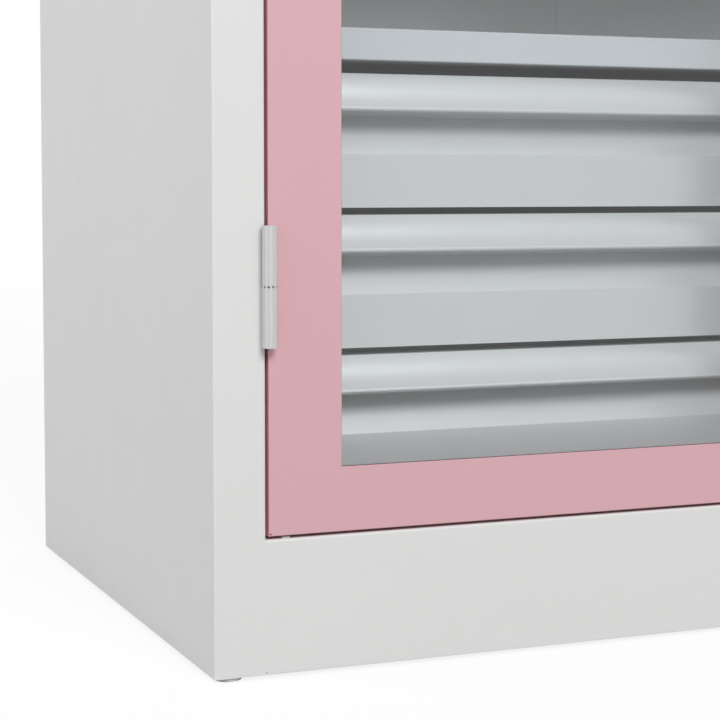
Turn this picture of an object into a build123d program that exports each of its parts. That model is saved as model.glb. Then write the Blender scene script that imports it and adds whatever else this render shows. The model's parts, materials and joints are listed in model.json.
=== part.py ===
from build123d import *
import os
from math import cos, radians, sin

# Heavy-duty storage cabinet with two vision doors over three full-width drawers and two shelves.
# Millimetres, +Z up, doors facing -Y, origin on the floor under the middle of the whole cabinet.

# Carcass of folded sheet
width = 1000.0
depth = 500.0
height = 1000.0
sheet = 1.0
bend = 1.7
stile_width = 36.25
plinth_height = 91.1
floor_edge = 0.4
top_rail_height = 36.25
return_depth = 20.0
rear_flange = 20.0
floor_skirt = 21.0
stop_thickness = 1.25
stop_reach = 10.0
stop_lap = 12.5
seam = 0.8
top_edge = 0.7
weld_relief = 0.6
spot_weld_radius = 2.8
spot_weld_depth = 0.3
spot_welds = 9
rib_count = 3
rib_pitch = 240.0
rib_width = 40.0
rib_rise = 0.9
rib_edge = 0.8
rib_margin = 120.0

# Feet
foot_drop = 2.8
foot_radius = 9.8
foot_edge = 0.5
foot_inset_x = 12.7
foot_inset_y = 12.0
stud_radius = 3.0
stud_clearance = 0.2
stud_end = 1.7
corner_plate_thickness = 2.5
corner_plate_length = 50.0
foot_nut_across = 10.0
foot_nut_height = 5.0

# Shelves and slotted uprights
upright_width = 25.0
upright_depth = 12.5
upright_wall = 1.7
upright_front_setback = 108.0
upright_rear_setback = 58.0
slot_width = 3.5
slot_height = 10.0
slot_pitch = 25.0
shelf_edge = 22.5
shelf_sheet = 0.9
shelf_return = 37.5
shelf_end_gap = 1.7
shelf_setback = 62.5
shelf_rear_gap = 6.7
shelf_over_drawers = 9.3
upper_shelf_level = 715.0
clip_thickness = 1.4
clip_reach = 13.3
clip_width = 11.7
clip_rise = 16.7

# Doors with a window
door_gap = 2.1
door_depth = 16.7
door_stile = 52.1
door_rail = 44.2
door_lip = 11.7
door_edge = 0.85
relief_radius = 1.0
pane_thickness = 3.3
pane_lap = 10.0
retainer_width = 16.7
retainer_thickness = 1.25
retainer_hide = 1.7
retainer_stud_radius = 1.7
retainer_stud_clearance = 0.2
retainer_collar_radius = 3.3
retainer_nut_across = 5.8
retainer_nut_height = 2.5
retainer_stud_end = 0.8
upright_studs = 5
level_studs = 3
pad_inset = 48.6
pad_width = 5.3
pad_length = 10.0
pad_setback = 2.5
pad_clearance = 1.1
buffer_radius = 3.3
buffer_clearance = 0.3

# Lift-off hinges
hinge_radius = 4.95
hinge_axis_out = 5.67
knuckle_length = 40.2
hinge_split = 0.3
washer_thickness = 0.25
washer_margin = 0.08
hinge_from_door_end = 167.0
pin_radius = 2.5
pin_fit = 0.05
pin_seat = 25.0
pin_reach = 31.7
pin_end_room = 0.8
web_near = 2.75
web_far = 4.0
flute_radius = 0.42
flute_angles = (-63.0, -27.0, 9.0, 45.0)
split_hole_radius = 0.85
split_hole_depth = 2.0

# Drawers
drawer_names = ("lower", "middle", "upper")
drawer_setback = 65.8
drawer_side_inset = 91.7
drawer_base = 111.5
drawer_front_height = 94.75
drawer_gap = 5.0
drawer_sheet = 1.0
front_section = 20.0
crease_height = 38.25
crease_bend = 1.2
recess_depth = 15.0
recess_height = 64.2
lip_proud = 10.0
lip_low = 67.9
lip_bead = 2.0
lip_bead_turn = 130.0
end_cap = 1.7
box_depth = 381.0
box_rise = 10.0
box_height = 66.7
box_sheet = 0.9
rail_height = 38.0
rail_width = 11.3
rail_wall = 1.5
rail_play = 0.4
rail_rise = 15.0
rail_length = 375.0
runner_setback = 2.5
runner_sheet = 1.25
runner_flange = 21.0
runner_depth = 392.0
spacer_height = 17.0
spacer_width = 33.0
spacer_wall = 1.7
spacer_level = 167.0
spacer_setbacks = (183.0, 375.0)

# Lever handle, lock cam and locking rods
lever_proud = 34.0
lever_length = 105.0
lever_width = 20.0
lever_thickness = 12.0
lever_edge = 3.0
lever_gap = 0.3
hub_radius = 14.0
key_plug_radius = 7.0
key_plug_length = 20.0
key_plug_fit = 0.05
keyway_width = 1.6
keyway_height = 8.0
keyway_depth = 3.0
lock_inset = 22.0
lock_share = 0.5
escutcheon_width = 32.0
escutcheon_height = 120.0
escutcheon_thickness = 3.5
spindle_size = 7.0
spindle_socket = 6.0
spindle_hole_radius = 5.5
cam_setback = 9.6
cam_thickness = 2.5
cam_width = 12.0
cam_throw = 7.5
cam_pin_radius = 2.1
cam_pin_length = 3.1
rod_radius = 3.3
rod_setback = 10.8
rod_start = 18.3
rod_tip_recess = 2.5
rod_hole_clearance = 0.5
keeper_clearance = 1.5
tang_gap = 0.35
tang_thickness = 2.5
tang_inner = 0.8
tang_outer = 12.1
tang_below_pin = 5.8
tang_overlap = 10.0
tang_slot_play = 0.6
tang_slot_end_play = 0.4
guide_width = 11.7
guide_height = 10.0
guide_depth = 15.0
guide_bore_clearance = 0.3
guide_near = 67.0
guide_far = 50.0

# Places worked out from the sizes
left = -width / 2
front = -(depth - lever_proud) / 2
back = front + depth
base = foot_drop
top = base + height
opening_left = left + stile_width
opening_bottom = base + plinth_height
opening_top = top - top_rail_height
inner_left = left + sheet
inner_bend = bend - sheet
back_face = back - 2 * sheet
stop_front = front + return_depth

door_left = opening_left + door_gap
door_right = -door_gap / 2
door_bottom = opening_bottom + door_gap
door_top = opening_top - door_gap
door_back = front + door_depth
window_left = door_left + door_stile
window_right = door_right - door_stile
window_bottom = door_bottom + door_rail
window_top = door_top - door_rail
pane_front = front + sheet
pane_back = pane_front + pane_thickness
retainer_back = pane_back + retainer_thickness

hinge_x = opening_left + door_gap / 2
hinge_y = front - hinge_axis_out
hinge_middles = (door_bottom + hinge_from_door_end, door_top - hinge_from_door_end)

face_y = front + drawer_setback
front_back_y = face_y + front_section
drawer_left = left + drawer_side_inset
drawer_bottoms = [base + drawer_base + i * (drawer_front_height + drawer_gap) for i in range(3)]
runner_front = front_back_y + runner_setback
box_left = drawer_left + rail_width
shelf_left = inner_left + upright_depth + shelf_end_gap
lower_shelf_bottom = drawer_bottoms[-1] + drawer_front_height + shelf_over_drawers
shelf_bottoms = {"lower": lower_shelf_bottom, "upper": base + upper_shelf_level - shelf_edge}

lock_x = -door_right + lock_inset
lock_z = door_bottom + lock_share * (door_top - door_bottom)
lever_front = front - lever_proud
lever_back = front - escutcheon_thickness - lever_gap
cam_front = front + cam_setback
cam_back = cam_front + cam_thickness
pin_offset = cam_throw * cos(radians(45))
rod_y = front + rod_setback
upper_rod_x = lock_x + pin_offset
lower_rod_x = lock_x - pin_offset

os.makedirs("parts", exist_ok=True)


def block(low, high, mode=Mode.ADD):
    """Adds or cuts the box between two opposite corners."""
    size = [b - a for a, b in zip(low, high)]
    with Locations(low):
        Box(*size, align=(Align.MIN, Align.MIN, Align.MIN), mode=mode)


def post(x, y, z_low, z_high, radius, mode=Mode.ADD):
    """Adds or cuts an upright cylinder."""
    with Locations((x, y, z_low)):
        Cylinder(radius, z_high - z_low, align=(Align.CENTER, Align.CENTER, Align.MIN), mode=mode)


def bolt(x, z, y_low, y_high, radius, mode=Mode.ADD):
    """Adds or cuts a cylinder that runs front to back."""
    with Locations(Location((x, y_low, z), (-90, 0, 0))):
        Cylinder(radius, y_high - y_low, align=(Align.CENTER, Align.CENTER, Align.MIN), mode=mode)


def front_plane(y):
    """Sketch plane at depth y, seen from the front, X to the right and Z up."""
    return Plane.XZ.offset(-y)


def keep(piece, label):
    """Names a finished piece and writes its file."""
    piece.part.label = label
    export_step(piece.part, f"parts/{label}.step")


def wall_section(z_low, with_return):
    """Section of the left wall's sheet, with or without the return behind the stile's inner edge."""
    points = [(left + rear_flange, back), (left, back), (left, front), (opening_left, front)]
    if with_return:
        points.append((opening_left, stop_front))
    with BuildSketch(Plane.XY.offset(z_low)) as section:
        with BuildLine():
            FilletPolyline(*points, radius=bend)
            offset(amount=sheet, side=Side.LEFT)
        make_face()
    return section.sketch


# Side walls: one sheet each, folded into the rear flange and the front stile. The stile's return stops at
# the plinth and at the top rail, which butt against the stile. Spot welds dent the rear flange.
with BuildPart() as left_side_wall:
    extrude(wall_section(base, False), amount=plinth_height)
    extrude(wall_section(opening_bottom, True), amount=opening_top - opening_bottom)
    extrude(wall_section(opening_top, False), amount=top - sheet - opening_top)
    for i in range(spot_welds):
        weld_z = base + height * (i + 0.5) / spot_welds
        bolt(left + rear_flange / 2, weld_z, back - spot_weld_depth, back, spot_weld_radius, Mode.SUBTRACT)
keep(left_side_wall, "left_side_wall")

with BuildPart() as right_side_wall:
    mirror(left_side_wall.part, about=Plane.YZ)
keep(right_side_wall, "right_side_wall")

# Top panel with its front rail folded down between the stiles
with BuildPart() as top_panel:
    block((left, front, top - sheet), (-left, back, top))
    fillet(top_panel.edges().group_by(Axis.Z)[-1], radius=top_edge)
    with BuildSketch(Plane.YZ.offset(opening_left)):
        with BuildLine():
            FilletPolyline(
                (front, top - sheet),
                (front, opening_top),
                (stop_front, opening_top),
                radius=bend,
            )
            offset(amount=sheet, side=Side.LEFT)
        make_face()
    extrude(amount=width - 2 * stile_width)
    post(upper_rod_x, rod_y, opening_top, opening_top + sheet, rod_radius + keeper_clearance, Mode.SUBTRACT)
keep(top_panel, "top_panel")

# Plinth between the stiles, folded back at the floor and under the doors
with BuildPart() as plinth_panel:
    with BuildSketch(Plane.YZ.offset(opening_left)):
        with BuildLine():
            Polyline((stop_front, base), (front, base), (front, base + bend))
            FilletPolyline(
                (front, base + bend),
                (front, opening_bottom),
                (stop_front, opening_bottom),
                radius=bend,
            )
            offset(amount=sheet, side=Side.RIGHT)
        make_face()
    extrude(amount=width - 2 * stile_width)
    floor_edges = plinth_panel.edges().filter_by(Axis.X).group_by(Axis.Z)[0]
    fillet(floor_edges.sort_by(Axis.Y)[0], radius=floor_edge)
    post(
        lower_rod_x,
        rod_y,
        opening_bottom - sheet,
        opening_bottom,
        rod_radius + keeper_clearance,
        Mode.SUBTRACT,
    )
    for x in (opening_left, -opening_left):
        bolt(x, base + bend, front, front + sheet, weld_relief, Mode.SUBTRACT)
keep(plinth_panel, "plinth_panel")

# Floor of the inside, an upside-down tray behind the plinth's fold
with BuildPart() as floor_panel:
    block((inner_left, stop_front, opening_bottom - floor_skirt), (-inner_left, back_face, opening_bottom))
    block(
        (inner_left + sheet, stop_front + sheet, opening_bottom - floor_skirt),
        (-inner_left - sheet, back_face - sheet, opening_bottom - sheet),
        Mode.SUBTRACT,
    )
keep(floor_panel, "floor_panel")

# Back panel, inside the rear flanges of the side walls, with upright stiffening ribs pressed outwards
rib_places = [rib_pitch * (i - (rib_count - 1) / 2) for i in range(rib_count)]
rib_low = base + rib_margin
rib_high = top - rib_margin
with BuildPart() as back_panel:
    panel_left = inner_left + inner_bend
    panel_back = back - sheet
    block((panel_left, back_face, base), (-panel_left, panel_back, top - sheet))
    for x in rib_places:
        rib_left = x - rib_width / 2
        rib_right = x + rib_width / 2
        block((rib_left, panel_back, rib_low), (rib_right, panel_back + rib_rise, rib_high))
    chamfer(back_panel.edges().group_by(Axis.Y)[-1], length=rib_edge)
    for x in rib_places:
        groove_left = x - rib_width / 2 + sheet
        groove_right = x + rib_width / 2 - sheet
        block(
            (groove_left, back_face, rib_low + sheet),
            (groove_right, back_face + rib_rise, rib_high - sheet),
            Mode.SUBTRACT,
        )
keep(back_panel, "back_panel")

# Door stops: one strip behind each stile and one behind the top rail
with BuildPart() as door_stops:
    for strip_left in (opening_left - stop_lap, -opening_left - stop_reach):
        block(
            (strip_left, stop_front, opening_bottom),
            (strip_left + stop_lap + stop_reach, stop_front + stop_thickness, opening_top + sheet),
        )
    block(
        (opening_left + stop_reach + seam, stop_front, opening_top - stop_reach),
        (-opening_left - stop_reach - seam, stop_front + stop_thickness, opening_top + stop_lap),
    )
keep(door_stops, "door_stops")

# Corner plates in the bottom corners, each with the stud hole of a foot
plate_right = opening_left - sheet
plate_front = front + sheet + inner_bend
foot_rows = (front + foot_inset_y, back - foot_inset_y)
foot_places = [(x, y) for x in (left + foot_inset_x, -left - foot_inset_x) for y in foot_rows]
with BuildPart() as corner_plates:
    for plate_low, plate_high in ((inner_left, plate_right), (-plate_right, -inner_left)):
        block(
            (plate_low, plate_front, base),
            (plate_high, plate_front + corner_plate_length, base + corner_plate_thickness),
        )
        block(
            (plate_low, back_face - corner_plate_length, base),
            (plate_high, back_face, base + corner_plate_thickness),
        )
    for x, y in foot_places:
        post(x, y, base, base + corner_plate_thickness, stud_radius + stud_clearance, Mode.SUBTRACT)
keep(corner_plates, "corner_plates")

# Glide feet: a round pad on a stud through the corner plate
nut_bottom = base + corner_plate_thickness
nut_top = nut_bottom + foot_nut_height
with BuildPart() as glide_feet:
    for x, y in foot_places:
        post(x, y, 0, foot_drop, foot_radius)
    chamfer(glide_feet.edges().group_by(Axis.Z)[0], length=foot_edge)
    for x, y in foot_places:
        post(x, y, foot_drop, nut_top + stud_end, stud_radius)
keep(glide_feet, "glide_feet")

with BuildPart() as foot_nuts:
    for x, y in foot_places:
        with BuildSketch(Plane.XY.offset(nut_bottom)):
            with Locations((x, y)):
                RegularPolygon(foot_nut_across / 2, 6, major_radius=False)
                Circle(stud_radius, mode=Mode.SUBTRACT)
        extrude(amount=foot_nut_height)
keep(foot_nuts, "foot_nuts")

# Slotted uprights on the side walls, which carry the shelf clips
upright_rows = (front + upright_front_setback, back - upright_rear_setback)
slot_count = int((opening_top - opening_bottom) / slot_pitch)
slot_levels = [opening_bottom + slot_pitch * (i + 0.5) for i in range(slot_count)]
upright_face = inner_left + upright_depth
with BuildPart() as shelf_uprights:
    for y in upright_rows:
        y_low = y - upright_width / 2
        y_high = y + upright_width / 2
        block((inner_left, y_low, opening_bottom), (upright_face, y_high, opening_top))
        block(
            (inner_left, y_low + upright_wall, opening_bottom),
            (upright_face - upright_wall, y_high - upright_wall, opening_top),
            Mode.SUBTRACT,
        )
        with Locations([(upright_face - upright_wall / 2, y, z) for z in slot_levels]):
            Box(upright_wall, slot_width, slot_height, mode=Mode.SUBTRACT)
    mirror(about=Plane.YZ)
keep(shelf_uprights, "shelf_uprights")

# Shelves: folded trays turned down, with a return under the front and the rear edge
shelf_front = front + shelf_setback
shelf_back = back_face - shelf_rear_gap
for level, bottom in shelf_bottoms.items():
    with BuildPart() as shelf:
        block((shelf_left, shelf_front, bottom), (-shelf_left, shelf_back, bottom + shelf_edge))
        fillet(shelf.edges().filter_by(Axis.X), radius=shelf_sheet)
        block(
            (shelf_left + shelf_sheet, shelf_front + shelf_sheet, bottom + shelf_sheet),
            (-shelf_left - shelf_sheet, shelf_back - shelf_sheet, bottom + shelf_edge - shelf_sheet),
            Mode.SUBTRACT,
        )
        block(
            (shelf_left + shelf_sheet, shelf_front + shelf_return, bottom),
            (-shelf_left - shelf_sheet, shelf_back - shelf_return, bottom + shelf_sheet),
            Mode.SUBTRACT,
        )
    keep(shelf, f"{level}_shelf")

# Shelf clips: angles that stand against the uprights and hold the shelves from below
with BuildPart() as shelf_clips:
    for bottom in shelf_bottoms.values():
        for y in upright_rows:
            y_low = y - clip_width / 2
            y_high = y + clip_width / 2
            block(
                (upright_face, y_low, bottom - clip_thickness),
                (upright_face + clip_thickness, y_high, bottom + clip_rise),
            )
            block(
                (upright_face, y_low, bottom - clip_thickness),
                (upright_face + clip_reach, y_high, bottom),
            )
    mirror(about=Plane.YZ)
keep(shelf_clips, "shelf_clips")

# Runner panels beside the drawers, from the floor to the lower shelf
with BuildPart() as left_runner_panel:
    runner_back = runner_front + runner_depth
    block(
        (drawer_left - runner_flange, runner_front, opening_bottom),
        (drawer_left, runner_back, lower_shelf_bottom),
    )
    block(
        (drawer_left - runner_flange, runner_front, opening_bottom + runner_sheet),
        (drawer_left - runner_sheet, runner_back, lower_shelf_bottom - runner_sheet),
        Mode.SUBTRACT,
    )
keep(left_runner_panel, "left_runner_panel")

with BuildPart() as right_runner_panel:
    mirror(left_runner_panel.part, about=Plane.YZ)
keep(right_runner_panel, "right_runner_panel")

# Spacers that brace the runner panels against the side walls
with BuildPart() as runner_spacers:
    for setback in spacer_setbacks:
        y_low = front + setback
        y_high = y_low + spacer_width
        z_low = opening_bottom + spacer_level
        z_high = z_low + spacer_height
        block((inner_left, y_low, z_low), (drawer_left - runner_sheet, y_high, z_high))
        block(
            (inner_left, y_low + spacer_wall, z_low),
            (drawer_left - runner_sheet, y_high - spacer_wall, z_high - spacer_wall),
            Mode.SUBTRACT,
        )
    mirror(about=Plane.YZ)
keep(runner_spacers, "runner_spacers")


def drawer_front_outline(z):
    """Edges of a drawer front's outline: flat foot, sloping finger recess and rolled grip lip with a bead."""
    lip_top = z + drawer_front_height
    recess_top = (face_y + recess_depth, z + recess_height)
    bead_bottom = (face_y - lip_proud + lip_bead, z + lip_low)
    with BuildLine() as outline:
        Polyline((face_y, lip_top), (front_back_y, lip_top), (front_back_y, z), (face_y, z))
        FilletPolyline((face_y, z), (face_y, z + crease_height), recess_top, radius=crease_bend)
        Line(recess_top, bead_bottom)
        bead = JernArc(bead_bottom, (-1, 0), lip_bead, -lip_bead_turn)
        TangentArc(bead @ 1, (face_y, lip_top), tangent=(0, 1))
    return outline.edges()


# Drawers: hollow front, end caps, box, and the rails on the box and on the runner panels
front_left = drawer_left + end_cap
for name, z in zip(drawer_names, drawer_bottoms):
    with BuildPart() as drawer_front:
        with BuildSketch(Plane.YZ.offset(front_left)):
            make_face(drawer_front_outline(z))
            offset(amount=-drawer_sheet, mode=Mode.SUBTRACT)
        extrude(amount=-2 * front_left)
    keep(drawer_front, f"{name}_drawer_front")

    with BuildPart() as end_caps:
        with BuildSketch(Plane.YZ.offset(drawer_left)):
            make_face(drawer_front_outline(z))
        extrude(amount=end_cap)
        mirror(about=Plane.YZ)
    keep(end_caps, f"{name}_drawer_end_caps")

    box_bottom = z + box_rise
    box_top = box_bottom + box_height
    box_back = front_back_y + box_depth
    with BuildPart() as drawer_box:
        block((box_left, front_back_y, box_bottom), (-box_left, box_back, box_top))
        block(
            (box_left + box_sheet, front_back_y + box_sheet, box_bottom + box_sheet),
            (-box_left - box_sheet, box_back - box_sheet, box_top),
            Mode.SUBTRACT,
        )
    keep(drawer_box, f"{name}_drawer_box")

    rail_low = z + rail_rise
    rail_high = rail_low + rail_height
    rail_back = runner_front + rail_length
    fixed_inner = drawer_left + rail_width - rail_wall - 2 * rail_play
    with BuildPart() as fixed_rails:
        block((drawer_left, runner_front, rail_low), (fixed_inner, rail_back, rail_high))
        block(
            (drawer_left + rail_wall, runner_front, rail_low + rail_wall),
            (fixed_inner, rail_back, rail_high - rail_wall),
            Mode.SUBTRACT,
        )
        mirror(about=Plane.YZ)
    keep(fixed_rails, f"{name}_fixed_rails")

    moving_outer = drawer_left + rail_wall + 2 * rail_play
    moving_low = rail_low + rail_wall + rail_play
    moving_high = rail_high - rail_wall - rail_play
    with BuildPart() as moving_rails:
        block((moving_outer, runner_front, moving_low), (box_left, rail_back, moving_high))
        block(
            (moving_outer, runner_front, moving_low + rail_wall),
            (box_left - rail_wall, rail_back, moving_high - rail_wall),
            Mode.SUBTRACT,
        )
        mirror(about=Plane.YZ)
    keep(moving_rails, f"{name}_moving_rails")

# Door frames: folded sheet with a window, a rear lip and corner reliefs
with BuildPart() as left_door_frame:
    block((door_left, front, door_bottom), (door_right, door_back, door_top))
    fillet(left_door_frame.faces().sort_by(Axis.Y)[0].outer_wire().edges(), radius=door_edge)
    block(
        (door_left + sheet, front + sheet, door_bottom + sheet),
        (door_right - sheet, door_back - sheet, door_top - sheet),
        Mode.SUBTRACT,
    )
    block(
        (door_left + door_lip, front + sheet, door_bottom + door_lip),
        (door_right - door_lip, door_back, door_top - door_lip),
        Mode.SUBTRACT,
    )
    block(
        (window_left, front, window_bottom),
        (window_right, front + sheet, window_top),
        Mode.SUBTRACT,
    )
    for x in (door_left + relief_radius, door_right - relief_radius):
        for z in (door_bottom + relief_radius, door_top - relief_radius):
            bolt(x, z, front, front + sheet, relief_radius, Mode.SUBTRACT)
keep(left_door_frame, "left_door_frame")

with BuildPart() as right_door_frame:
    mirror(left_door_frame.part, about=Plane.YZ)
    bolt(lock_x, lock_z, front, front + sheet, spindle_hole_radius, Mode.SUBTRACT)
    post(upper_rod_x, rod_y, door_top - sheet, door_top, rod_radius + rod_hole_clearance, Mode.SUBTRACT)
    post(lower_rod_x, rod_y, door_bottom, door_bottom + sheet, rod_radius + rod_hole_clearance, Mode.SUBTRACT)
keep(right_door_frame, "right_door_frame")

# Window panes behind the front sheet of the doors
with BuildPart() as left_window_pane:
    block(
        (window_left - pane_lap, pane_front, window_bottom - pane_lap),
        (window_right + pane_lap, pane_back, window_top + pane_lap),
    )
keep(left_window_pane, "left_window_pane")

with BuildPart() as right_window_pane:
    mirror(left_window_pane.part, about=Plane.YZ)
keep(right_window_pane, "right_window_pane")

# Retainer strips on the back of the panes, and the studs with nuts that hold them
strip_near = retainer_hide
strip_far = retainer_hide + retainer_width
stud_offset = (pane_lap + strip_far) / 2
stud_xs = (window_left - stud_offset, window_right + stud_offset)
stud_zs = (window_bottom - stud_offset, window_top + stud_offset)
upright_step = (window_top - window_bottom) / (upright_studs - 1)
level_step = (window_right - window_left) / (level_studs + 1)
stud_places = [(x, window_bottom + i * upright_step) for x in stud_xs for i in range(upright_studs)]
stud_places += [(window_left + (i + 1) * level_step, z) for z in stud_zs for i in range(level_studs)]
with BuildPart() as left_pane_retainers:
    for strip_left in (window_left - strip_far, window_right + strip_near):
        block(
            (strip_left, pane_back, window_bottom - strip_far),
            (strip_left + retainer_width, retainer_back, window_top + strip_far),
        )
    for strip_bottom in (window_bottom - strip_far, window_top + strip_near):
        block(
            (window_left - strip_near + seam, pane_back, strip_bottom),
            (window_right + strip_near - seam, retainer_back, strip_bottom + retainer_width),
        )
    for x, z in stud_places:
        hole_radius = retainer_stud_radius + retainer_stud_clearance
        bolt(x, z, pane_back, retainer_back, hole_radius, Mode.SUBTRACT)
keep(left_pane_retainers, "left_pane_retainers")

with BuildPart() as right_pane_retainers:
    mirror(left_pane_retainers.part, about=Plane.YZ)
keep(right_pane_retainers, "right_pane_retainers")

stud_tip = retainer_back + retainer_nut_height + retainer_stud_end
with BuildPart() as left_retainer_studs:
    for x, z in stud_places:
        bolt(x, z, pane_front, pane_back, retainer_collar_radius)
        bolt(x, z, pane_front, stud_tip, retainer_stud_radius)
        with BuildSketch(front_plane(retainer_back)):
            with Locations((x, z)):
                RegularPolygon(retainer_nut_across / 2, 6, major_radius=False)
        extrude(amount=-retainer_nut_height)
keep(left_retainer_studs, "left_retainer_studs")

with BuildPart() as right_retainer_studs:
    mirror(left_retainer_studs.part, about=Plane.YZ)
keep(right_retainer_studs, "right_retainer_studs")


def knuckle_section(z_low, web_side):
    """Section of a fluted hinge knuckle with its web to the stile (web_side -1) or to the door (+1)."""
    flute_places = [
        (hinge_x + hinge_radius * sin(radians(a)), hinge_y - hinge_radius * cos(radians(a)))
        for a in flute_angles
    ]
    with BuildSketch(Plane.XY.offset(z_low)) as section:
        with Locations((hinge_x, hinge_y)):
            Circle(hinge_radius)
        with Locations((hinge_x + web_side * (web_near + web_far) / 2, hinge_y + hinge_axis_out / 2)):
            Rectangle(web_far - web_near, hinge_axis_out)
        with Locations(flute_places):
            Circle(flute_radius, mode=Mode.SUBTRACT)
    return section.sketch


def cut_split_holes():
    """Cuts the small holes where the flutes of the left hinges cross the split between the knuckles."""
    for middle in hinge_middles:
        for angle in flute_angles:
            outward = (sin(radians(angle)), -cos(radians(angle)), 0)
            mouth = (hinge_x + hinge_radius * outward[0], hinge_y + hinge_radius * outward[1], middle)
            with Locations(Plane(mouth, z_dir=outward)):
                Cylinder(
                    split_hole_radius,
                    split_hole_depth,
                    align=(Align.CENTER, Align.CENTER, Align.MAX),
                    mode=Mode.SUBTRACT,
                )


# Lift-off hinges: lower knuckles on the stile, pins and washers on them, upper knuckles on the door
with BuildPart() as left_frame_knuckles:
    for middle in hinge_middles:
        knuckle_top = middle - hinge_split / 2
        extrude(knuckle_section(knuckle_top - knuckle_length, -1), amount=knuckle_length)
        post(hinge_x, hinge_y, knuckle_top - pin_seat, knuckle_top, pin_radius, Mode.SUBTRACT)
    cut_split_holes()
keep(left_frame_knuckles, "left_frame_knuckles")

with BuildPart() as right_frame_knuckles:
    mirror(left_frame_knuckles.part, about=Plane.YZ)
keep(right_frame_knuckles, "right_frame_knuckles")

with BuildPart() as left_hinge_pins:
    for middle in hinge_middles:
        post(
            hinge_x,
            hinge_y,
            middle - hinge_split / 2 - pin_seat,
            middle + hinge_split / 2 + pin_reach,
            pin_radius,
        )
keep(left_hinge_pins, "left_hinge_pins")

with BuildPart() as right_hinge_pins:
    mirror(left_hinge_pins.part, about=Plane.YZ)
keep(right_hinge_pins, "right_hinge_pins")

with BuildPart() as hinge_washers:
    for middle in hinge_middles:
        washer_low = middle - hinge_split / 2
        washer_high = washer_low + washer_thickness
        post(hinge_x, hinge_y, washer_low, washer_high, hinge_radius - washer_margin)
        post(hinge_x, hinge_y, washer_low, washer_high, pin_radius + pin_fit, Mode.SUBTRACT)
    cut_split_holes()
    mirror(about=Plane.YZ)
keep(hinge_washers, "hinge_washers")

with BuildPart() as left_door_knuckles:
    for middle in hinge_middles:
        knuckle_low = middle + hinge_split / 2
        extrude(knuckle_section(knuckle_low, 1), amount=knuckle_length)
        bore_top = knuckle_low + pin_reach + pin_end_room
        post(hinge_x, hinge_y, knuckle_low, bore_top, pin_radius + pin_fit, Mode.SUBTRACT)
    cut_split_holes()
keep(left_door_knuckles, "left_door_knuckles")

with BuildPart() as right_door_knuckles:
    mirror(left_door_knuckles.part, about=Plane.YZ)
keep(right_door_knuckles, "right_door_knuckles")

# Support pads under the doors and rubber buffers on the door stops
with BuildPart() as door_pads:
    block(
        (left + pad_inset, front + pad_setback, opening_bottom),
        (left + pad_inset + pad_width, front + pad_setback + pad_length, door_bottom - pad_clearance),
    )
    mirror(about=Plane.YZ)
keep(door_pads, "door_pads")

buffer_x = opening_left + stop_reach - buffer_radius
buffer_z = opening_top - stop_reach + buffer_radius
with BuildPart() as door_buffers:
    buffer_front = door_back + buffer_clearance
    for x, z in ((buffer_x, door_bottom + door_rail), (door_right - door_stile, buffer_z)):
        bolt(x, z, buffer_front, stop_front, buffer_radius)
    mirror(about=Plane.YZ)
keep(door_buffers, "door_buffers")

# Escutcheon and swivel lever on the right door
with BuildPart() as escutcheon:
    with BuildSketch(front_plane(front)):
        with Locations((lock_x, lock_z)):
            SlotOverall(escutcheon_height, escutcheon_width, rotation=90)
            Circle(spindle_hole_radius, mode=Mode.SUBTRACT)
    extrude(amount=escutcheon_thickness)
    fillet(escutcheon.faces().sort_by(Axis.Y)[0].outer_wire().edges(), radius=escutcheon_thickness / 2)
keep(escutcheon, "escutcheon")

with BuildPart() as lever_handle:
    bolt(lock_x, lock_z, lever_front, lever_back, hub_radius)
    grip_length = lever_length - lever_width / 2
    with BuildSketch(front_plane(lever_front + lever_thickness)):
        with Locations((lock_x, lock_z - grip_length / 2)):
            Rectangle(lever_width, grip_length)
        with Locations((lock_x, lock_z - grip_length)):
            Circle(lever_width / 2)
        with Locations((lock_x, lock_z)):
            Circle(hub_radius)
    extrude(amount=lever_thickness)
    fillet(lever_handle.faces().sort_by(Axis.Y)[0].outer_wire().edges(), radius=lever_edge)
    plug_back = lever_front + key_plug_length
    bolt(lock_x, lock_z, lever_front, plug_back, key_plug_radius + key_plug_fit, Mode.SUBTRACT)
    half_spindle = spindle_size / 2
    block(
        (lock_x - half_spindle, lever_back - spindle_socket, lock_z - half_spindle),
        (lock_x + half_spindle, lever_back, lock_z + half_spindle),
        Mode.SUBTRACT,
    )
keep(lever_handle, "lever_handle")

with BuildPart() as key_plug:
    bolt(lock_x, lock_z, lever_front, plug_back, key_plug_radius)
    block(
        (lock_x - keyway_width / 2, lever_front, lock_z - keyway_height / 2),
        (lock_x + keyway_width / 2, lever_front + keyway_depth, lock_z + keyway_height / 2),
        Mode.SUBTRACT,
    )
keep(key_plug, "key_plug")

with BuildPart() as lock_spindle:
    block(
        (lock_x - half_spindle, lever_back - spindle_socket, lock_z - half_spindle),
        (lock_x + half_spindle, cam_back, lock_z + half_spindle),
    )
keep(lock_spindle, "lock_spindle")

# Lock cam on the spindle, with a pin for each rod
with BuildPart() as lock_cam:
    with BuildSketch(front_plane(cam_front)):
        with Locations((lock_x, lock_z)):
            SlotCenterToCenter(2 * cam_throw, cam_width, rotation=-45)
            Rectangle(spindle_size, spindle_size, mode=Mode.SUBTRACT)
    extrude(amount=-cam_thickness)
    for side in (1, -1):
        pin_x = lock_x + side * pin_offset
        pin_z = lock_z - side * pin_offset
        bolt(pin_x, pin_z, cam_back, cam_back + cam_pin_length, cam_pin_radius)
keep(lock_cam, "lock_cam")

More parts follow.
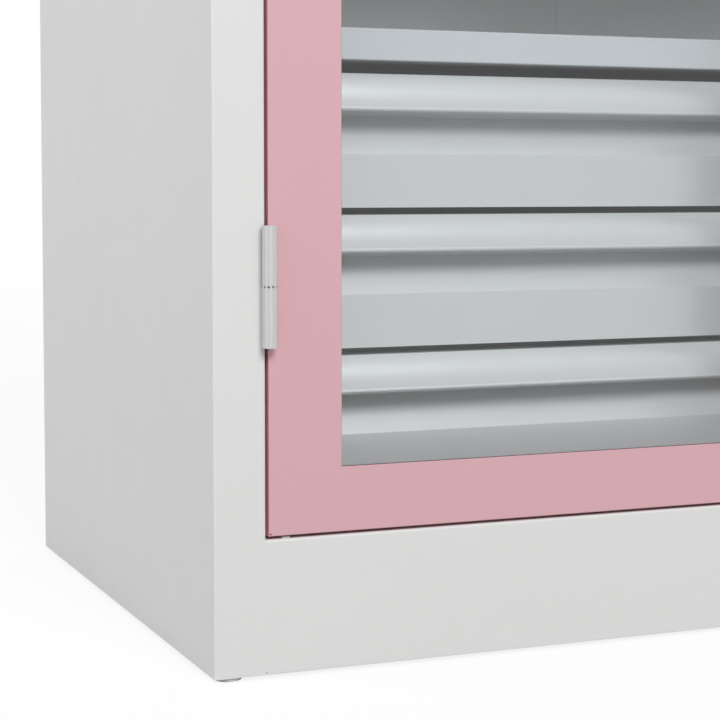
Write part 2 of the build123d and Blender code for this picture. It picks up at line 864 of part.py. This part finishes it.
# Locking rods: a round rod with a slotted tang over its cam pin
rod_room = {"upper": door_top - lock_z, "lower": lock_z - door_bottom}
tang_front = cam_back + tang_gap
for name, turn in (("upper", 0), ("lower", 180)):
    with BuildPart() as locking_rod:
        rod_tip = rod_room[name] - rod_tip_recess
        post(pin_offset, rod_y, rod_start, rod_tip, rod_radius)
        block(
            (tang_inner, tang_front, -pin_offset - tang_below_pin),
            (tang_outer, tang_front + tang_thickness, rod_start + tang_overlap),
        )
        block(
            (
                pin_offset - cam_pin_radius - tang_slot_end_play,
                tang_front,
                -pin_offset - cam_pin_radius - tang_slot_play,
            ),
            (
                cam_throw + cam_pin_radius + tang_slot_end_play,
                tang_front + tang_thickness,
                -pin_offset + cam_pin_radius + tang_slot_play,
            ),
            Mode.SUBTRACT,
        )
    placed = Location((lock_x, 0, lock_z), (0, turn, 0))
    with BuildPart() as placed_rod:
        add(locking_rod.part.moved(placed))
    keep(placed_rod, f"{name}_locking_rod")

# Rod guides on the inside of the right door
with BuildPart() as rod_guides:
    guide_levels = (
        (upper_rod_x, lock_z + guide_near),
        (upper_rod_x, door_top - guide_far),
        (lower_rod_x, lock_z - guide_near),
        (lower_rod_x, door_bottom + guide_far),
    )
    for x, z in guide_levels:
        z_low = z - guide_height / 2
        z_high = z + guide_height / 2
        block((x - guide_width / 2, front + sheet, z_low), (x + guide_width / 2, front + guide_depth, z_high))
        post(x, rod_y, z_low, z_high, rod_radius + guide_bore_clearance, Mode.SUBTRACT)
keep(rod_guides, "rod_guides")
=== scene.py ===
import json
import math

import bpy
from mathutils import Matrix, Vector


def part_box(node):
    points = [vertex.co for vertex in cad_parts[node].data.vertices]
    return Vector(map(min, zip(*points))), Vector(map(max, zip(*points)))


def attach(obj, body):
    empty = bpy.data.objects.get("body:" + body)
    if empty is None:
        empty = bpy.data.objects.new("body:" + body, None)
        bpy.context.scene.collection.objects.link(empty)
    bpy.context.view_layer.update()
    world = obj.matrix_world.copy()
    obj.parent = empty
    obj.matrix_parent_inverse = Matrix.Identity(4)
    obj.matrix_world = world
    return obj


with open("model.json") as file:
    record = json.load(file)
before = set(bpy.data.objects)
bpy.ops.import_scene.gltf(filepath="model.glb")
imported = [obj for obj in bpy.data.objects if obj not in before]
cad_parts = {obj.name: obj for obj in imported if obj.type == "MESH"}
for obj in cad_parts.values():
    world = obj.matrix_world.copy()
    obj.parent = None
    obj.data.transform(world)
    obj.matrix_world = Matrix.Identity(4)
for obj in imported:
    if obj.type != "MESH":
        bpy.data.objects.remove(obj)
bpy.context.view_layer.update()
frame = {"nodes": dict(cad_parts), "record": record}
nodes = frame["nodes"]
scene = bpy.context.scene

# Camera at the photograph's low corner view
camera_place = (-0.8723, -1.3928, 0.3303)
camera_yaw = 22.320
camera_pitch = 3.623
camera_lens = 93.188
frame_shift = -0.08
sensor = 36.0
level_view = 90.0

# Colours in linear light
grey_coat = (0.690, 0.690, 0.685)
rose_coat = (0.632, 0.376, 0.411)
# Painted light: a brighter, deeper red that stands in for the reddish bounce light and shade in the narrow
# gaps beside the rose doors
rose_painted_gap_light = (0.870, 0.340, 0.380)
drawer_coat = (0.520, 0.534, 0.539)
shelf_coat = (0.492, 0.517, 0.534)
hinge_coat = (0.580, 0.580, 0.578)
zinc = (0.600, 0.610, 0.620)
satin_chrome = (0.620, 0.620, 0.630)
black_plastic = (0.022, 0.022, 0.024)
# The feet are light grey; this tone is lifted further as painted light, for the light they miss in the
# shade under the cabinet
foot_grey_with_painted_light = (0.820, 0.820, 0.815)
nylon_with_painted_shade = (0.560, 0.560, 0.545)
buffer_black = (0.018, 0.018, 0.018)
# Nylon is nearly white; this tone is greyed below its own colour as painted shade, for the shade the pads
# sit in under the doors
pane_tint = (0.980, 0.990, 0.995)
surround_white = (1.000, 1.000, 1.000)

# Narrow gaps, where the rose paint gets painted reddish bounce light and shade: the reach, and how free a
# shut-in and an open spot are
gap_reach = 0.004
gap_samples = 8
shut_in = 0.2
open_air = 0.7

# Floor and light of the stage
floor_reach = 6.0
floor_tone = (0.90, 0.90, 0.90)
floor_tone_in_bounces = (0.50, 0.50, 0.50)
floor_glow_share = 0.86
floor_fade_start = 1.5
floor_fade_end = 5.0
even_light = 0.42
full_light = 1.0
before_first_bounce = 0.5
cabinet_middle = (0.0, 0.0, 0.5)

# Sheets and laps that the solids have
carcass_sheet = 0.001
box_sheet = 0.0009
pane_lap = 0.010

# Fasteners: sizes, numbers in a row and distances from the ends
back_rivet = {"Head Radius": 0.0034, "Head Height": 0.0009, "Recess Reach": 0.0011, "Recess Depth": 0.0005}
rail_rivet = {"Head Radius": 0.0034, "Head Height": 0.0011, "Recess Reach": 0.0011, "Recess Depth": 0.0006}
plate_screw = {"Head Radius": 0.0035, "Head Height": 0.0016, "Recess Reach": 0.0016, "Recess Depth": 0.001}
front_screw = {"Head Radius": 0.0042, "Head Height": 0.0022, "Recess Reach": 0.002, "Recess Depth": 0.0014}
back_rivet_count = 7
rail_rivet_count = 4
front_screw_count = 5
back_rivet_inset = 0.04
rail_rivet_inset = 0.05
plate_screw_inset = 0.015
front_screw_inset = 0.06
head_segments = 24
head_rings = 12
pit_sides = 16
cross_arm_share = 0.55

# Beads: rolled hems and pane seals
hem_radius = 0.0012
seal_radius = 0.00022
bead_sides = 12

sharp_angle = 35.0


def feed(tree, socket, value):
    """Gives a node's input a plain value or another node's output."""
    if isinstance(value, bpy.types.NodeSocket):
        tree.links.new(value, socket)
    else:
        socket.default_value = value


def add_node(tree, kind, inputs=None, **settings):
    """A new node in a tree; inputs maps a socket's name or number to what it is fed with."""
    made = tree.nodes.new(kind)
    for key, value in settings.items():
        setattr(made, key, value)
    for key, value in (inputs or {}).items():
        feed(tree, made.inputs[key], value)
    return made


def maths(tree, operation, first, second):
    """The result of an operation on two values."""
    return add_node(tree, "ShaderNodeMath", {0: first, 1: second}, operation=operation).outputs["Value"]


class Finish:
    """A material under construction: one shader and the texture nodes that feed it."""

    def __init__(self, name):
        self.material = bpy.data.materials.new(name)
        self.material.use_nodes = True
        self.tree = self.material.node_tree
        self.shader = self.tree.nodes["Principled BSDF"]
        self.place = self.node("ShaderNodeTexCoord").outputs["Object"]

    def node(self, kind, inputs=None, **settings):
        return add_node(self.tree, kind, inputs, **settings)

    def set(self, **values):
        """Feeds the shader's inputs, with underscores for the spaces in their names."""
        for key, value in values.items():
            feed(self.tree, self.shader.inputs[key.replace("_", " ")], value)

    def show(self, surface):
        """Makes a surface the material's own, in the plain shader's stead."""
        feed(self.tree, self.tree.nodes["Material Output"].inputs["Surface"], surface)

    def stretched(self, scale):
        """Object coordinates multiplied along each axis."""
        return self.node("ShaderNodeMapping", {"Vector": self.place, "Scale": scale}).outputs["Vector"]

    def noise(self, scale, detail=2.0, roughness=0.5, vector=None):
        made = self.node("ShaderNodeTexNoise", {
            "Vector": vector or self.place, "Scale": scale, "Detail": detail, "Roughness": roughness})
        return made.outputs["Fac"]

    def spread(self, source, low=0.0, high=1.0, from_low=0.3, from_high=0.7):
        """A value brought to the range from low to high."""
        made = self.node("ShaderNodeMapRange", {
            "Value": source, "From Min": from_low, "From Max": from_high, "To Min": low, "To Max": high})
        return made.outputs["Result"]

    def mix_colours(self, share, first, second):
        """A colour on the way from the first to the second."""
        made = self.node("ShaderNodeMix", {"Factor": share, "A": first, "B": second}, data_type="RGBA")
        return made.outputs["Result"]

    def mix_surfaces(self, share, first, second):
        """A surface on the way from the first shader to the second."""
        return self.node("ShaderNodeMixShader", {"Fac": share, 1: first, 2: second}).outputs["Shader"]

    def tone(self, source, colour, dark, light):
        """Base colour that wanders between a darker and a lighter tone of one colour."""
        darker = (*[c * dark for c in colour], 1.0)
        lighter = (*[min(1.0, c * light) for c in colour], 1.0)
        self.set(Base_Color=self.mix_colours(source, darker, lighter))

    def paint_gap_light(self, colour):
        """Painted gap light: turns the base colour to another one where surfaces stand closer than the
        reach of gaps, in place of the reddish bounce light and shade there.
        """
        free = self.node("ShaderNodeAmbientOcclusion", {"Distance": gap_reach}, samples=gap_samples)
        share = self.spread(free.outputs["AO"], from_low=shut_in, from_high=open_air)
        plain = self.shader.inputs["Base Color"].links[0].from_socket
        self.set(Base_Color=self.mix_colours(share, (*colour, 1.0), plain))

    def bump(self, source, strength, distance):
        raised = self.node("ShaderNodeBump", {"Height": source, "Strength": strength, "Distance": distance})
        self.set(Normal=raised.outputs["Normal"])


def powder_coat(name, colour, dull, flake=0.0, uneven=0.05, painted_gap_light=None):
    """Satin powder coat: a fine orange peel, faint clouds, uneven gloss and a share of metal flake, and
    where asked painted light in narrow gaps.
    """
    coat = Finish(name)
    coat.set(Specular_IOR_Level=0.45, Metallic=flake)
    coat.tone(coat.spread(coat.noise(scale=2.4, detail=3.0)), colour, dark=0.985, light=1.015)
    # Painted bounce light and shade where the coat faces a narrow gap
    if painted_gap_light:
        coat.paint_gap_light(painted_gap_light)
    clouds = coat.noise(scale=38.0, detail=3.0)
    coat.set(Roughness=coat.spread(clouds, low=dull - uneven, high=dull + uneven))
    coat.bump(coat.noise(scale=620.0, detail=3.0, roughness=0.6), strength=0.10, distance=0.0003)
    return coat.material


def bare_metal(name, colour, rough, grain, brushed):
    """Plated or turned metal with drawn lines along the brushed axes and cloudy tarnish."""
    metal = Finish(name)
    metal.set(Metallic=1.0)
    tarnish = metal.noise(scale=26.0, detail=4.0, roughness=0.65)
    metal.tone(metal.spread(tarnish), colour, dark=0.86, light=1.08)
    lines = metal.noise(scale=grain, detail=3.0, roughness=0.6, vector=metal.stretched(brushed))
    metal.set(Roughness=metal.spread(lines, low=rough - 0.08, high=rough + 0.10))
    metal.bump(lines, strength=0.12, distance=0.0002)
    return metal.material


def moulded(name, colour, dull, grain):
    """Moulded plastic or rubber with a fine spark-eroded grain."""
    plastic = Finish(name)
    plastic.tone(plastic.spread(plastic.noise(scale=45.0, detail=3.0)), colour, dark=0.90, light=1.10)
    clouds = plastic.noise(scale=160.0)
    plastic.set(Roughness=plastic.spread(clouds, low=dull - 0.06, high=dull + 0.06))
    plastic.bump(plastic.noise(scale=grain, roughness=0.7), strength=0.25, distance=0.0002)
    return plastic.material


def clear_sheet(name):
    """Clear polished sheet with faint smears in its gloss. Light goes straight through to the drawers."""
    pane = Finish(name)
    pane.set(Transmission_Weight=1.0, IOR=1.46)
    pane.tone(pane.spread(pane.noise(scale=3.0)), pane_tint, dark=0.995, light=1.005)
    smears = pane.noise(scale=9.0, detail=3.0)
    pane.set(Roughness=pane.spread(smears, low=0.02, high=0.05))
    path = pane.node("ShaderNodeLightPath").outputs
    mirrored = maths(pane.tree, "SUBTRACT", path["Is Glossy Ray"], path["Is Transmission Ray"])
    passing = maths(pane.tree, "MAXIMUM", path["Is Shadow Ray"], path["Is Diffuse Ray"])
    passing = maths(pane.tree, "MAXIMUM", passing, mirrored)
    through = pane.node("ShaderNodeBsdfTransparent", {"Color": (*pane_tint, 1.0)})
    pane.show(pane.mix_surfaces(passing, pane.shader.outputs["BSDF"], through.outputs["BSDF"]))
    return pane.material


finishes = {
    "grey_paint": powder_coat("light_grey_coat", grey_coat, dull=0.46),
    "hinge_paint": powder_coat("hinge_grey_coat", hinge_coat, dull=0.50),
    # The rose coat carries painted reddish bounce light and shade in its narrow gaps
    "rose_paint": powder_coat("rose_coat", rose_coat, dull=0.46, painted_gap_light=rose_painted_gap_light),
    "drawer_paint": powder_coat("drawer_grey_coat", drawer_coat, dull=0.315, flake=0.30, uneven=0.02),
    "shelf_paint": powder_coat("shelf_grey_coat", shelf_coat, dull=0.38),
    "clear_pane": clear_sheet("clear_window_sheet"),
    "zinc_steel": bare_metal("zinc_plate", zinc, rough=0.34, grain=90.0, brushed=(1.0, 0.06, 1.0)),
    "key_metal": bare_metal("satin_chrome", satin_chrome, rough=0.24, grain=300.0, brushed=(1.0, 1.0, 1.0)),
    "dark_plastic": moulded("black_lever_plastic", black_plastic, dull=0.42, grain=900.0),
    # Feet: light grey plastic, made lighter still by painted light
    "foot_plastic": moulded("foot_plastic", foot_grey_with_painted_light, dull=0.50, grain=700.0),
    # Nylon: near-white, greyed by painted shade
    "white_nylon": moulded("white_nylon", nylon_with_painted_shade, dull=0.45, grain=700.0),
    "buffer_rubber": moulded("buffer_rubber", buffer_black, dull=0.65, grain=500.0),
}

# Every CAD piece takes the finish of its slot
for entry in frame["record"]["subparts"]:
    mesh = nodes[entry["node"]].data
    mesh.materials.clear()
    mesh.materials.append(finishes[entry["material_slot"]])


class PieceTree:
    """A Geometry Nodes tree under construction, with named inputs and one finished mesh as its result."""

    def __init__(self, name, sizes):
        self.group = bpy.data.node_groups.new(name, "GeometryNodeTree")
        self.sockets = {}
        face = self.group.interface
        face.new_socket("Places", in_out="INPUT", socket_type="NodeSocketGeometry")
        for size in sizes:
            made = face.new_socket(size, in_out="INPUT", socket_type="NodeSocketFloat")
            self.sockets[size] = made.identifier
        made = face.new_socket("Finish", in_out="INPUT", socket_type="NodeSocketMaterial")
        self.sockets["Finish"] = made.identifier
        face.new_socket("Piece", in_out="OUTPUT", socket_type="NodeSocketGeometry")
        self.given = self.node("NodeGroupInput").outputs

    def node(self, kind, inputs=None, **settings):
        return add_node(self.group, kind, inputs, **settings)

    def maths(self, operation, first, second):
        return maths(self.group, operation, first, second)

    def finish(self, geometry):
        """Ends the tree: real geometry, smooth faces and the piece's finish."""
        real = self.node("GeometryNodeRealizeInstances", {"Geometry": geometry})
        smooth = self.node("GeometryNodeSetShadeSmooth", {"Geometry": real.outputs["Geometry"]})
        coated = self.node("GeometryNodeSetMaterial", {
            "Geometry": smooth.outputs["Geometry"], "Material": self.given["Finish"]})
        self.node("NodeGroupOutput", {"Piece": coated.outputs["Geometry"]})


def fastener_tree(name, cross_recess):
    """Button heads on the given points, each turned to the point's facing, with a cross or a round pit."""
    tree = PieceTree(name, ("Head Radius", "Head Height", "Recess Reach", "Recess Depth"))
    radius = tree.given["Head Radius"]
    head_height = tree.given["Head Height"]
    reach = tree.given["Recess Reach"]
    ball = tree.node("GeometryNodeMeshUVSphere", {
        "Segments": head_segments, "Rings": head_rings, "Radius": 1.0})
    shape = tree.node("ShaderNodeCombineXYZ", {"X": radius, "Y": radius, "Z": head_height})
    head = tree.node("GeometryNodeTransform", {
        "Geometry": ball.outputs["Mesh"], "Scale": shape.outputs["Vector"]})
    pit_floor = tree.maths("SUBTRACT", head_height, tree.given["Recess Depth"])
    cutter_middle = tree.maths("ADD", pit_floor, head_height)
    lift = tree.node("ShaderNodeCombineXYZ", {"Z": cutter_middle})
    tall = tree.maths("MULTIPLY", head_height, 2.0)
    if cross_recess:
        long_side = tree.maths("MULTIPLY", reach, 2.0)
        short_side = tree.maths("MULTIPLY", reach, cross_arm_share)
        cutters = []
        for x_side, y_side in ((long_side, short_side), (short_side, long_side)):
            extent = tree.node("ShaderNodeCombineXYZ", {"X": x_side, "Y": y_side, "Z": tall})
            cutters.append(tree.node("GeometryNodeMeshCube", {"Size": extent.outputs["Vector"]}))
    else:
        cutters = [tree.node("GeometryNodeMeshCylinder", {
            "Vertices": pit_sides, "Radius": reach, "Depth": tall})]
    shaped = head.outputs["Geometry"]
    for cutter in cutters:
        placed = tree.node("GeometryNodeTransform", {
            "Geometry": cutter.outputs["Mesh"], "Translation": lift.outputs["Vector"]})
        cut = tree.node("GeometryNodeMeshBoolean", {
            "Mesh 1": shaped, "Mesh 2": placed.outputs["Geometry"]}, operation="DIFFERENCE", solver="EXACT")
        shaped = cut.outputs["Mesh"]
    facing = tree.node("GeometryNodeInputNamedAttribute", {"Name": "facing"}, data_type="FLOAT_VECTOR")
    turned = tree.node("FunctionNodeAlignRotationToVector", {
        "Vector": facing.outputs["Attribute"]}, axis="Z")
    rows = tree.node("GeometryNodeInstanceOnPoints", {
        "Points": tree.given["Places"], "Instance": shaped, "Rotation": turned.outputs["Rotation"]})
    tree.finish(rows.outputs["Instances"])
    return tree


def bead_tree(name):
    """A round bead along the given edges."""
    tree = PieceTree(name, ("Bead Radius",))
    path = tree.node("GeometryNodeMeshToCurve", {"Mesh": tree.given["Places"]})
    round_section = tree.node("GeometryNodeCurvePrimitiveCircle", {
        "Resolution": bead_sides, "Radius": tree.given["Bead Radius"]})
    bead = tree.node("GeometryNodeCurveToMesh", {
        "Curve": path.outputs["Curve"], "Profile Curve": round_section.outputs["Curve"], "Fill Caps": True})
    tree.finish(bead.outputs["Mesh"])
    return tree


def grow(tree, name, body, slot, mesh, sizes):
    """Runs a tree on a mesh of places and keeps the result as one plain piece on a body."""
    holder = bpy.data.objects.new(name + "_places", mesh)
    scene.collection.objects.link(holder)
    growth = holder.modifiers.new("growth", "NODES")
    growth.node_group = tree.group
    for size, value in sizes.items():
        growth[tree.sockets[size]] = value
    growth[tree.sockets["Finish"]] = finishes[slot]
    shown = holder.evaluated_get(bpy.context.evaluated_depsgraph_get())
    made = bpy.data.meshes.new_from_object(shown)
    made.set_sharp_from_angle(angle=math.radians(sharp_angle))
    holder.modifiers.remove(growth)
    bpy.data.objects.remove(holder)
    piece = bpy.data.objects.new(name, made)
    scene.collection.objects.link(piece)
    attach(piece, body)


def facing_points(rows):
    """A mesh of loose points; each row gives its points and the direction that its fasteners face."""
    mesh = bpy.data.meshes.new("fastener_places")
    points = [p for row, facing in rows for p in row]
    mesh.from_pydata(points, [], [])
    values = mesh.attributes.new("facing", "FLOAT_VECTOR", "POINT").data
    facings = [c for row, facing in rows for p in row for c in facing]
    values.foreach_set("vector", facings)
    return mesh


def bead_line(name, corners, closed):
    """A mesh of edges from corner to corner, and from the last back to the first where it is closed."""
    mesh = bpy.data.meshes.new(name)
    last = len(corners) - 1
    edges = [(i, i + 1) for i in range(last)]
    if closed:
        edges.append((last, 0))
    mesh.from_pydata(corners, edges, [])
    return mesh


def along(first, last, count):
    """Evenly spaced points from first to last."""
    start = Vector(first)
    step = (Vector(last) - start) / (count - 1)
    return [start + step * i for i in range(count)]


rivets = fastener_tree("blind_rivets", cross_recess=False)
screws = fastener_tree("cross_screws", cross_recess=True)
beads = bead_tree("round_beads")

# Rivets hold the back panel on the skirt of the floor panel
panel_low, panel_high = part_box("back_panel")
floor_low, floor_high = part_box("floor_panel")
wall_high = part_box("left_side_wall")[1]
panel_face = wall_high[1] - carcass_sheet
row_level = (floor_low[2] + floor_high[2]) / 2
back_rivets = along((panel_low[0] + back_rivet_inset, panel_face, row_level),
                    (panel_high[0] - back_rivet_inset, panel_face, row_level), back_rivet_count)
grow(rivets, "back_panel_rivets", "carcass", "zinc_steel",
     facing_points([(back_rivets, (0, 1, 0))]), back_rivet)

# Screws of the escutcheon
plate_low, plate_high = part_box("escutcheon")
plate_middle = (plate_low[0] + plate_high[0]) / 2
plate_screws = [(plate_middle, plate_low[1], plate_low[2] + plate_screw_inset),
                (plate_middle, plate_low[1], plate_high[2] - plate_screw_inset)]
grow(screws, "escutcheon_screws", "right_door", "zinc_steel",
     facing_points([(plate_screws, (0, -1, 0))]), plate_screw)

# A thin dark bead seals each pane to the edge of its window
seal_inset = pane_lap + seal_radius
for side in ("left", "right"):
    pane_low, pane_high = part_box(side + "_window_pane")
    seal_left = pane_low[0] + seal_inset
    seal_right = pane_high[0] - seal_inset
    seal_bottom = pane_low[2] + seal_inset
    seal_top = pane_high[2] - seal_inset
    seal_y = pane_low[1] - seal_radius
    corners = [(seal_left, seal_y, seal_bottom), (seal_right, seal_y, seal_bottom),
               (seal_right, seal_y, seal_top), (seal_left, seal_y, seal_top)]
    line = bead_line("seal_line", corners, closed=True)
    grow(beads, side + "_pane_seal", side + "_door", "buffer_rubber", line, {"Bead Radius": seal_radius})

# Each drawer box: a rolled hem round its top, rivets of the rails and screws of the front inside it
for drawer in ("lower", "middle", "upper"):
    body = drawer + "_drawer"
    box_low, box_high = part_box(drawer + "_drawer_box")
    rail_low, rail_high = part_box(drawer + "_moving_rails")
    hem_level = box_high[2] - hem_radius
    hem_left = box_low[0] + box_sheet / 2
    hem_right = box_high[0] - box_sheet / 2
    hem_front = box_low[1] + hem_radius
    hem_back = box_high[1] - box_sheet / 2
    corners = [(hem_left, hem_front, hem_level), (hem_left, hem_back, hem_level),
               (hem_right, hem_back, hem_level), (hem_right, hem_front, hem_level)]
    line = bead_line("hem_line", corners, closed=False)
    grow(beads, drawer + "_drawer_hem", body, "drawer_paint", line, {"Bead Radius": hem_radius})

    rivet_level = (rail_low[2] + rail_high[2]) / 2
    rivet_front = box_low[1] + rail_rivet_inset
    rivet_back = box_high[1] - rail_rivet_inset
    rail_rivets = []
    for wall, facing in ((box_low[0] + box_sheet, (1, 0, 0)), (box_high[0] - box_sheet, (-1, 0, 0))):
        row = along((wall, rivet_front, rivet_level), (wall, rivet_back, rivet_level), rail_rivet_count)
        rail_rivets.append((row, facing))
    grow(rivets, drawer + "_rail_rivets", body, "zinc_steel", facing_points(rail_rivets), rail_rivet)

    inner_front = box_low[1] + box_sheet
    screw_level = (box_low[2] + box_high[2]) / 2
    front_screws = along((box_low[0] + front_screw_inset, inner_front, screw_level),
                         (box_high[0] - front_screw_inset, inner_front, screw_level), front_screw_count)
    grow(screws, drawer + "_front_screws", body, "zinc_steel",
         facing_points([(front_screws, (0, 1, 0))]), front_screw)


def stage_floor():
    """A pale floor that glows to the camera, keeps a soft shadow and fades out with distance."""
    mesh = bpy.data.meshes.new("pale_floor")
    corners = [(-floor_reach, -floor_reach, 0), (floor_reach, -floor_reach, 0),
               (floor_reach, floor_reach, 0), (-floor_reach, floor_reach, 0)]
    mesh.from_pydata(corners, [], [(0, 1, 2, 3)])
    floor = bpy.data.objects.new("pale_floor", mesh)
    scene.collection.objects.link(floor)
    look = Finish("pale_floor")
    path = look.node("ShaderNodeLightPath").outputs
    tint = look.mix_colours(path["Is Diffuse Ray"], (*floor_tone, 1.0), (*floor_tone_in_bounces, 1.0))
    look.set(Base_Color=tint, Roughness=0.9, Specular_IOR_Level=0.1)
    glow = look.node("ShaderNodeEmission", {"Strength": full_light})
    glow_share = maths(look.tree, "MULTIPLY", path["Is Camera Ray"], floor_glow_share)
    lit = look.mix_surfaces(glow_share, look.shader.outputs["BSDF"], glow.outputs["Emission"])
    far = look.node("ShaderNodeVectorMath", {0: look.place}, operation="LENGTH")
    fade = look.spread(far.outputs["Value"], from_low=floor_fade_start, from_high=floor_fade_end)
    nothing = look.node("ShaderNodeBsdfTransparent")
    look.show(look.mix_surfaces(fade, lit, nothing.outputs["BSDF"]))
    mesh.materials.append(look.material)


def white_surround():
    """White to the eye and in gloss and glass, and a lower even light on every surface."""
    world = bpy.data.worlds.new("studio")
    scene.world = world
    world.use_nodes = True
    tree = world.node_tree
    path = add_node(tree, "ShaderNodeLightPath").outputs
    seen = maths(tree, "MAXIMUM", path["Is Camera Ray"], path["Is Glossy Ray"])
    seen = maths(tree, "MAXIMUM", seen, path["Is Transmission Ray"])
    direct = maths(tree, "LESS_THAN", path["Diffuse Depth"], before_first_bounce)
    level = add_node(tree, "ShaderNodeMapRange", {
        "Value": maths(tree, "MULTIPLY", seen, direct), "To Min": even_light, "To Max": full_light})
    back = tree.nodes["Background"]
    feed(tree, back.inputs["Color"], (*surround_white, 1.0))
    feed(tree, back.inputs["Strength"], level.outputs["Result"])


def softbox(name, place, target, size, watts):
    """A rectangular lamp that faces its target."""
    lamp = bpy.data.lights.new(name, "AREA")
    lamp.shape = "RECTANGLE"
    lamp.size, lamp.size_y = size
    lamp.energy = watts
    holder = bpy.data.objects.new(name, lamp)
    scene.collection.objects.link(holder)
    holder.location = place
    holder.rotation_euler = (Vector(target) - Vector(place)).to_track_quat("-Z", "Y").to_euler()


stage_floor()
white_surround()
softbox("front_softbox", (-0.54, -4.12, 3.335), cabinet_middle, size=(2.43, 1.89), watts=180.0)
softbox("left_softbox", (-3.2, 0.3, 1.9), cabinet_middle, size=(2.6, 2.2), watts=41.0)
softbox("rear_softbox", (2.7, 2.7, 2.4), cabinet_middle, size=(2.2, 1.8), watts=45.0)

# Camera
lens = bpy.data.cameras.new("photo_camera")
lens.lens = camera_lens
lens.sensor_width = sensor
lens.shift_y = frame_shift
camera = bpy.data.objects.new("photo_camera", lens)
scene.collection.objects.link(camera)
camera.location = camera_place
camera.rotation_euler = (math.radians(level_view - camera_pitch), 0.0, math.radians(-camera_yaw))
scene.camera = camera

scene.view_settings.view_transform = "Standard"
